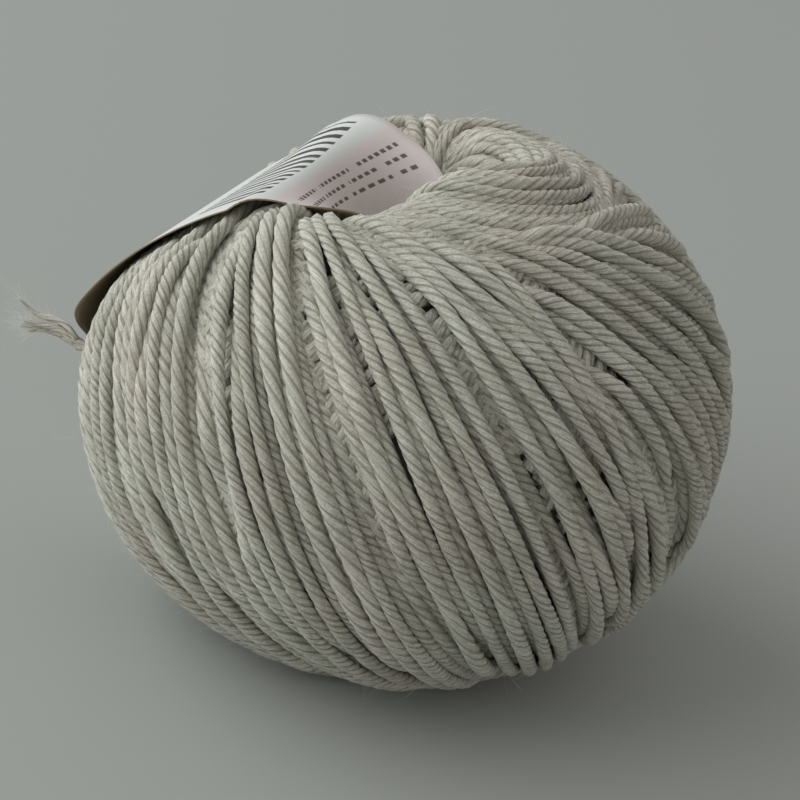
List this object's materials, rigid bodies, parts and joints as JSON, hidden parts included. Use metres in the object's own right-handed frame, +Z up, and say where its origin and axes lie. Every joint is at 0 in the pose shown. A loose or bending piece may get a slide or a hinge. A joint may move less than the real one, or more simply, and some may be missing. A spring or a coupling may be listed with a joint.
{
  "type": "ball of yarn",
  "caption": "Machine-wound centre-pull ball of pale plied yarn with a hole along its axis, a plain paper label band looped through the hole, and a short loose end.",
  "frame": {"origin": "on the surface the ball stands on, under the middle of the ball and its label band", "axes": "+Z up along the winding hole; -Y is the side where the outer strands lean one way from upper left to lower right; -X is roughly the side with the label band and the loose end"},
  "size_m": [0.1047, 0.0944, 0.0746],
  "materials": {
    "yarn": "pale grey-beige plied yarn, soft and slightly fuzzy",
    "paper": "uncoated printed label paper, matt"
  },
  "bodies": {
    "root": {"ball": "yarn", "label_band": "paper", "yarn_tail": "yarn"}
  },
  "joints": []
}
